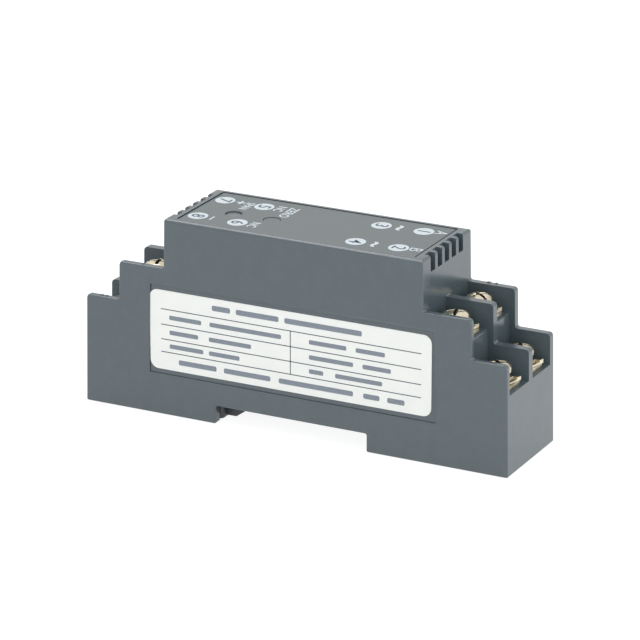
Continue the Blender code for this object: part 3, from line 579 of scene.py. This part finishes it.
def darken_drive(mesh, centre):
    """Paints shade on the faces that lie in the drive, well below the dome, as darker plating."""
    mesh.materials.append(PAINTED_SHADE_IN_DRIVE)
    for face in mesh.polygons:
        x, y, z = (face.center - Vector(centre)) / MM
        radius = (x * x + y * y) ** 0.5
        if radius < DRIVE_REACH and DRIVE_ABOVE < z < dome_height(radius) - DRIVE_BELOW_DOME:
            face.material_index = 1


def make_screws():
    for number, turn_degrees, rise in zip(TERMINALS, SCREW_TURNS, SCREW_RISE):
        node = "terminal_screw_" + str(number)
        low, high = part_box(node)
        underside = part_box("lock_washer_" + str(number))[1].z + (HEAD_GAP + rise) * MM
        points = screw_points((underside - low.z) / MM)
        turn = radians(turn_degrees)
        spin = np.array([[cos(turn), -sin(turn), 0], [sin(turn), cos(turn), 0], [0, 0, 1]])
        centre = np.array([(low.x + high.x) / 2, (low.y + high.y) / 2, underside])
        mesh = closed_mesh("screw_" + str(number), points @ spin.T + centre)
        smooth(mesh, SCREW_SHARP)
        screw = place("screw_" + str(number), mesh, NICKEL, BODIES[node])
        # Painted shade in the drive's recess
        darken_drive(mesh, centre)
        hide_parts(node)


# Latch spring

SPRING_WIRE_R = 0.2
SPRING_TURNS = 8
RINGS_PER_TURN = 28
WIRE_SIDES = 10
END_PACE = 0.3


def make_spring():
    """A tube along a helix, centre(t) = (x(t), R cos, R sin), whose end turns lie close together."""
    low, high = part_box("latch_spring")
    wire = SPRING_WIRE_R * MM
    coil_r = (high.y - low.y) / 2 - wire
    mid_y, mid_z = (low.y + high.y) / 2, (low.z + high.z) / 2
    t = np.linspace(0, 1, SPRING_TURNS * RINGS_PER_TURN + 1)
    angle = 2 * pi * SPRING_TURNS * t
    pace = np.clip(np.minimum(t, 1 - t) * SPRING_TURNS, END_PACE, 1.0)
    along = np.concatenate([[0], np.cumsum((pace[1:] + pace[:-1]) / 2)])
    x = low.x + wire + (high.x - low.x - 2 * wire) * along / along[-1]
    line = np.stack([x, mid_y + coil_r * np.cos(angle), mid_z + coil_r * np.sin(angle)], -1)
    outward = np.stack([np.zeros_like(t), np.cos(angle), np.sin(angle)], -1)
    lengthwise = np.array([1.0, 0, 0])
    around = np.linspace(0, 2 * pi, WIRE_SIDES, endpoint=False)[:, None]
    rings = line[:, None] + wire * (outward[:, None] * np.cos(around) + lengthwise * np.sin(around))
    caps = [np.repeat(end[:, None], WIRE_SIDES, 1) for end in (line[:1], line[-1:])]
    mesh = closed_mesh("latch_coil", np.concatenate([caps[0], rings, caps[1]]))
    smooth(mesh, ROUND_SHARP)
    coil = place("latch_coil", mesh, SPRING, BODIES["latch_spring"])
    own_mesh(coil)
    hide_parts("latch_spring")


# Legend on the top plate

DISC_R = 2.2
DISC_SINK = 0.005
DIGIT_H = 3.0
DIGIT_SHIFT = -0.1
DIGIT_WEIGHT = 0.008
DIGIT_LIFT = 1.4
INK_T = 0.03

# Each number's place in X and Y
NUMBERS = {
    1: (22.35, 5.75), 2: (22.27, -6.3), 3: (12.63, 5.3), 4: (12.53, -6.75),
    5: (-15.37, 5.35), 6: (-15.47, -6.7), 7: (-25.02, 5.6), 8: (-25.08, -6.48),
}

# Each sign: the word, its place in X and Y, its height, its width share and its extra weight
SIGNS = [
    ("+", -21.38, 5.6, 3.1, 1.0, 0.06),
    ("–", -21.45, -6.6, 3.1, 1.0, 0.06),
    ("NC", -11.75, 5.5, 2.1, 0.82, 0.04),
    ("NC", -11.72, -6.6, 2.1, 0.82, 0.04),
    ("SPAN", -18.95, 4.0, 1.95, 0.74, 0.045),
    ("ZERO", -8.8, 4.0, 2.2, 0.86, 0.04),
    ("~", 16.98, 5.5, 3.9, 0.95, 0.19),
    ("~", 16.98, -6.6, 3.9, 0.95, 0.19),
    ("A", 25.95, 6.45, 2.75, 0.85, 0.02),
    ("B", 25.9, -5.85, 2.95, 1.0, -0.01),
]
READS_LEFT = Matrix.Rotation(-pi / 2, 4, "Z")


def make_legend():
    """White discs with grey digits on them, and white signs; the print reads from the left end."""
    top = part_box("top_plate")[1].z

    def spot(x, y, lift):
        return Matrix.Translation((x * MM, y * MM, top + INK_T * MM * lift)) @ READS_LEFT

    discs = [disc_mesh((x * MM, y * MM, top - DISC_SINK * MM), DISC_R * MM, INK_T * MM)
             for x, y in NUMBERS.values()]
    signs = [text_mesh(words, height, INK_T, spot(x, y, 0.5), weight, width)
             for words, x, y, height, width, weight in SIGNS]
    digits = [text_mesh(str(number), DIGIT_H, INK_T, spot(x + DIGIT_SHIFT, y, DIGIT_LIFT), DIGIT_WEIGHT)
              for number, (x, y) in NUMBERS.items()]
    place("legend_discs", joined("legend_discs", discs), LEGEND, "housing")
    place("legend_signs", joined("legend_signs", signs), LEGEND, "housing")
    place("legend_digits", joined("legend_digits", digits), DIGITS, "housing")


# Label on the long side

LABEL_SHIFT = 0.15
LABEL_CORNER = 1.9
PRINT_PROUD = 0.012
PRINT_T = 0.02
RULE_Z = (24.25, 20.75, 17.4, 14.5)
RULE_X = (-31.45, 30.4)
RULE_W = 0.2
RULE_CORNER = 0.05
DIVIDER_X = -0.2
BAR_CORNER_SHARE = 0.3

# Each row of bars: its middle height, how tall its bars are, and where they begin and end
ROWS = [
    (26.35, 1.2, [(-19.0, -14.6), (-13.2, -3.0), (-1.6, 16.6)]),
    (22.5, 1.0, [(-29.4, -21.6), (-19.6, -2.4), (4.2, 13.0), (15.2, 22.0)]),
    (19.1, 1.0, [(-29.4, -22.4), (-19.8, -9.6), (4.2, 14.6), (16.8, 23.4)]),
    (15.95, 1.0, [(-29.4, -21.2), (-19.8, -12.4), (4.2, 7.6), (10.4, 21.4)]),
    (12.6, 1.15, [(-27.2, -18.0), (-16.2, -5.0), (-3.0, 14.6), (17.0, 20.8), (22.6, 26.6)]),
]


def make_label():
    """White film with rounded corners, ruled lines and plain bars, a little left of the solid's place."""
    low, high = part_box("side_label")
    shift = LABEL_SHIFT * MM
    sheet = bar_mesh("label_sheet", (low.x - shift, high.x - shift), (low.z, high.z), low.y, high.y - low.y,
                     LABEL_CORNER * MM)
    piece = place("label_sheet", sheet, LABEL, "housing")
    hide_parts("side_label")

    def printed(name, x_span, z_span, corner):
        spans = [tuple(value * MM for value in span) for span in (x_span, z_span)]
        return bar_mesh(name, *spans, low.y - PRINT_PROUD * MM, PRINT_T * MM, corner * MM)

    half = RULE_W / 2
    rules = [printed("rule", RULE_X, (z - half, z + half), RULE_CORNER) for z in RULE_Z]
    rules.append(printed("divider", (DIVIDER_X - half, DIVIDER_X + half), (RULE_Z[-1], RULE_Z[0]),
                         RULE_CORNER))
    place("label_rules", joined("label_rules", rules), PRINT, "housing")
    bars = [printed("bar", span, (z - height / 2, z + height / 2), BAR_CORNER_SHARE * height)
            for z, height, spans in ROWS for span in spans]
    place("label_bars", joined("label_bars", bars), BARS, "housing")


# Housing and metalwork from the solids

# How far the sharp edges of each kind are rounded
CASE_EDGE = 0.16
COVER_EDGE = 0.12
PLATE_EDGE = 0.06
LATCH_EDGE = 0.15
STRIP_EDGE = 0.08
WASHER_EDGE = 0.1

# How much higher than the solids' the plugs' tops stand
SPAN_PLUG_HIGHER = 0.22
ZERO_PLUG_HIGHER = 0.18

# Where the terminal bays lie: from this far out, this far to each side, with floors at these heights
BAY_START_X = 31.2
BAY_HALF_W = 10.2
BAY_FLOORS = (27.9, 17.9)
FLOOR_REACH = 0.3


def matt_bays(case):
    """Gives the terminal bays' floors and side walls the rougher finish of the mould's inner faces."""
    case.data.materials.append(SHELL_INNER)
    for face in case.data.polygons:
        centre = face.center / MM
        in_bays = abs(centre.x) >= BAY_START_X and abs(centre.y) <= BAY_HALF_W
        if not in_bays or centre.z < BAY_FLOORS[1] - FLOOR_REACH:
            continue
        by_floor = min(abs(centre.z - floor) for floor in BAY_FLOORS) < FLOOR_REACH
        if (face.normal.z > FACING and by_floor) or abs(face.normal.y) > FACING:
            face.material_index = 1


def polished_top(washer):
    """Gives a clamp washer's flat top the smoother plating of the screws."""
    washer.data.materials.append(NICKEL)
    for face in washer.data.polygons:
        if face.normal.z > FACING:
            face.material_index = 1


def dress_nodes():
    matt_bays(dressed_copy("case", CASE_EDGE))
    dressed_copy("base_cover", COVER_EDGE)
    dressed_copy("top_plate", PLATE_EDGE)
    # The span plug gets the lighter sheet, painted light against the shade of its recess
    dressed_copy("span_plug", PLATE_EDGE, finish=PLUG_PAINTED_LIGHT, higher_mm=SPAN_PLUG_HIGHER)
    dressed_copy("zero_plug", PLATE_EDGE, higher_mm=ZERO_PLUG_HIGHER)
    dressed_copy("rail_latch", LATCH_EDGE)
    for number, rise in zip(TERMINALS, SCREW_RISE):
        tag = "_" + str(number)
        dressed_copy("contact_plate" + tag, STRIP_EDGE, finish=STRIP)
        polished_top(dressed_copy("clamp_washer" + tag, WASHER_EDGE, finish=STRIP))
        dressed_copy("lock_washer" + tag, STRIP_EDGE, higher_mm=rise)
    for name, part in frame["nodes"].items():
        part.data.materials.clear()
        part.data.materials.append(FINISHES[SLOTS[name]])


# Bead round the label's recess

RECESS_X = (-34.25, 33.65)
RECESS_Z = (9.2, 29.7)
FRONT_Y = -12.0
BEAD_HALF_W = 0.17
BEAD_H = 0.07
BEAD_SIDES = 12
END_DRAFT = radians(1.3)
DRAFT_LEVEL_Z = 22.5


def make_bead():
    """A half-round raised line along a rectangle: centre(s) + a cos(t) n(s) in the front face's plane and
    b sin(t) out of it. Both upright runs lean with the case's ends, x = x0 + (z0 - z) tan(draft)."""
    around = np.linspace(0, 2 * pi, BEAD_SIDES, endpoint=False)
    off = BEAD_HALF_W * np.cos(around)
    rings = []
    for sx, sz in [(1, 1), (-1, 1), (-1, -1), (1, -1)]:
        x = RECESS_X[1] if sx > 0 else RECESS_X[0]
        z = RECESS_Z[1] if sz > 0 else RECESS_Z[0]
        lean = sx * (DRAFT_LEVEL_Z - z) * np.tan(END_DRAFT)
        rings.append(np.stack([x + lean + sx * off, FRONT_Y - BEAD_H * np.sin(around), z + sz * off], -1))
    mesh = closed_mesh("recess_bead", np.array(rings + rings[:1]) * MM)
    smooth(mesh, ROUND_SHARP)
    place("recess_bead", mesh, SHELL, "housing")


# Moulding nubs, left where runners were cut

# On the walls' tops: each nub's place in X and Y, half its length and its height
NUBS = {
    "upper": [(35.05, 11.3, 0.54, 0.24), (36.75, 11.35, 0.36, 0.2), (-36.2, -11.2, 0.48, 0.2),
              (35.05, -11.25, 0.6, 0.12)],
    "lower": [(-46.4, -11.2, 0.54, 0.26), (-45.2, -11.2, 0.44, 0.24)],
}
NUB_HALF_W = 0.36
NUB_SIDES = 20
NUB_RINGS = 13
WALL_TOP_Z = {"upper": 33.45, "lower": 24.7}


def make_nubs():
    """Low domes, half sunk: x = a cos(v) cos(u), y = b cos(v) sin(u), z = c sin(v) about each place."""
    u = np.linspace(0, 2 * pi, NUB_SIDES, endpoint=False)
    v = np.linspace(-pi / 2, pi / 2, NUB_RINGS)[:, None]
    unit = np.stack([np.cos(v) * np.cos(u), np.cos(v) * np.sin(u), np.sin(v) * np.ones_like(u)], -1)
    domes = [closed_mesh("nub", (unit * (half, NUB_HALF_W, height) + (x, y, WALL_TOP_Z[level])) * MM)
             for level, nubs in NUBS.items() for x, y, half, height in nubs]
    mesh = joined("moulding_nubs", domes)
    smooth(mesh, ROUND_SHARP)
    place("moulding_nubs", mesh, SHELL, "housing")


# Stage, in metres

SKY_FILL = (0.93, 0.98, 1.0, 1.0)
SKY_FILL_STRENGTH = 0.8
FLOOR_HALF = 1.5
FLOOR_Z = -0.0002
FLOOR_BOUNCE = 0.75
FLOOR_SHADOW = 0.3
FLOOR_GLOW = 0.9
LAMP_AIM = (0.0, 0.0, 0.02)

# Each lamp: its place, its size, its watts and its colour
LAMPS = {
    "overhead": ((-0.5, 0.0, 1.0), (1.2, 0.27), 3.3, (1.0, 0.985, 0.96)),
    "front": ((0.4, -1.1, 0.42), (1.2, 1.0), 2.4, (0.97, 0.99, 1.0)),
    "right": ((1.15, -0.1, 0.3), (0.9, 0.8), 4.2, (1.0, 0.95, 0.88)),
}


def greater_of(tree, first, second):
    """The output of a node that gives the greater of two sockets' values."""
    larger = tree.nodes.new("ShaderNodeMath")
    larger.operation = "MAXIMUM"
    tree.links.new(first, larger.inputs[0])
    tree.links.new(second, larger.inputs[1])
    return larger.outputs[0]


def light_path_mix(tree, seen, lit):
    """Shows the shader seen to camera, glossy and transmission rays, and lets lit light the object."""
    path = tree.nodes.new("ShaderNodeLightPath")
    either = greater_of(tree, path.outputs["Is Camera Ray"], path.outputs["Is Glossy Ray"])
    any_of_three = greater_of(tree, either, path.outputs["Is Transmission Ray"])
    mix = tree.nodes.new("ShaderNodeMixShader")
    tree.links.new(any_of_three, mix.inputs[0])
    tree.links.new(lit, mix.inputs[1])
    tree.links.new(seen, mix.inputs[2])
    return mix.outputs[0]


def shader(tree, kind, **inputs):
    """A shader node's output, with its sockets set to values."""
    made = tree.nodes.new(kind)
    for name, value in inputs.items():
        made.inputs[name].default_value = value
    return made.outputs[0]


def make_world():
    """White behind the object, and a cooler and weaker fill light from all round."""
    world = bpy.data.worlds.new("studio")
    bpy.context.scene.world = world
    world.use_nodes = True
    tree = world.node_tree
    tree.nodes.clear()
    white = shader(tree, "ShaderNodeBackground", Color=(1.0, 1.0, 1.0, 1.0), Strength=1.0)
    fill = shader(tree, "ShaderNodeBackground", Color=SKY_FILL, Strength=SKY_FILL_STRENGTH)
    out = tree.nodes.new("ShaderNodeOutputWorld")
    tree.links.new(light_path_mix(tree, white, fill), out.inputs["Surface"])


def grey(level):
    return (level, level, level, 1.0)


def make_floor():
    """A pale floor that reads white where it is lit and keeps a faint shadow of the object."""
    mesh = bpy.data.meshes.new("floor")
    corners = [(-FLOOR_HALF, -FLOOR_HALF), (FLOOR_HALF, -FLOOR_HALF), (FLOOR_HALF, FLOOR_HALF),
               (-FLOOR_HALF, FLOOR_HALF)]
    mesh.from_pydata([(x, y, FLOOR_Z) for x, y in corners], [], [(0, 1, 2, 3)])
    floor = bpy.data.objects.new("floor", mesh)
    bpy.context.scene.collection.objects.link(floor)
    paint = bpy.data.materials.new("floor_white")
    paint.use_nodes = True
    tree = paint.node_tree
    tree.nodes.clear()
    matt = shader(tree, "ShaderNodeBsdfDiffuse", Color=grey(FLOOR_BOUNCE))
    faint = shader(tree, "ShaderNodeBsdfDiffuse", Color=grey(FLOOR_SHADOW))
    glow = shader(tree, "ShaderNodeEmission", Strength=FLOOR_GLOW)
    both = tree.nodes.new("ShaderNodeAddShader")
    tree.links.new(faint, both.inputs[0])
    tree.links.new(glow, both.inputs[1])
    out = tree.nodes.new("ShaderNodeOutputMaterial")
    tree.links.new(light_path_mix(tree, both.outputs[0], matt), out.inputs["Surface"])
    mesh.materials.append(paint)


def make_lamps():
    """Soft boxes that all point at the object's middle."""
    for name, (position, size, watts, rgb) in LAMPS.items():
        lamp = bpy.data.lights.new(name, "AREA")
        lamp.shape = "RECTANGLE"
        lamp.size, lamp.size_y = size
        lamp.energy = watts
        lamp.color = rgb
        holder = bpy.data.objects.new(name, lamp)
        holder.location = position
        holder.rotation_euler = (Vector(LAMP_AIM) - Vector(position)).to_track_quat("-Z", "Y").to_euler()
        bpy.context.scene.collection.objects.link(holder)


def make_camera():
    """The view of the photograph."""
    back = Vector((sin(AZIMUTH) * cos(ELEVATION), -cos(AZIMUTH) * cos(ELEVATION), sin(ELEVATION)))
    right = Vector((cos(AZIMUTH), sin(AZIMUTH), 0))
    up = back.cross(right)
    camera = bpy.data.cameras.new("camera")
    camera.sensor_width = SENSOR_MM
    camera.lens = FOCAL_PX * SENSOR_MM / FRAME_PX
    camera.clip_start = NEAR_CLIP
    holder = bpy.data.objects.new("camera", camera)
    turn = Matrix((right, up, back)).transposed().to_4x4()
    holder.matrix_world = Matrix.Translation(AIM_RIGHT * right + AIM_UP * up + DISTANCE * back) @ turn
    bpy.context.scene.collection.objects.link(holder)
    bpy.context.scene.camera = holder


dress_nodes()
make_screws()
make_spring()
make_legend()
make_label()
make_bead()
make_nubs()
make_world()
make_floor()
make_lamps()
make_camera()
bpy.context.scene.view_settings.view_transform = "Standard"
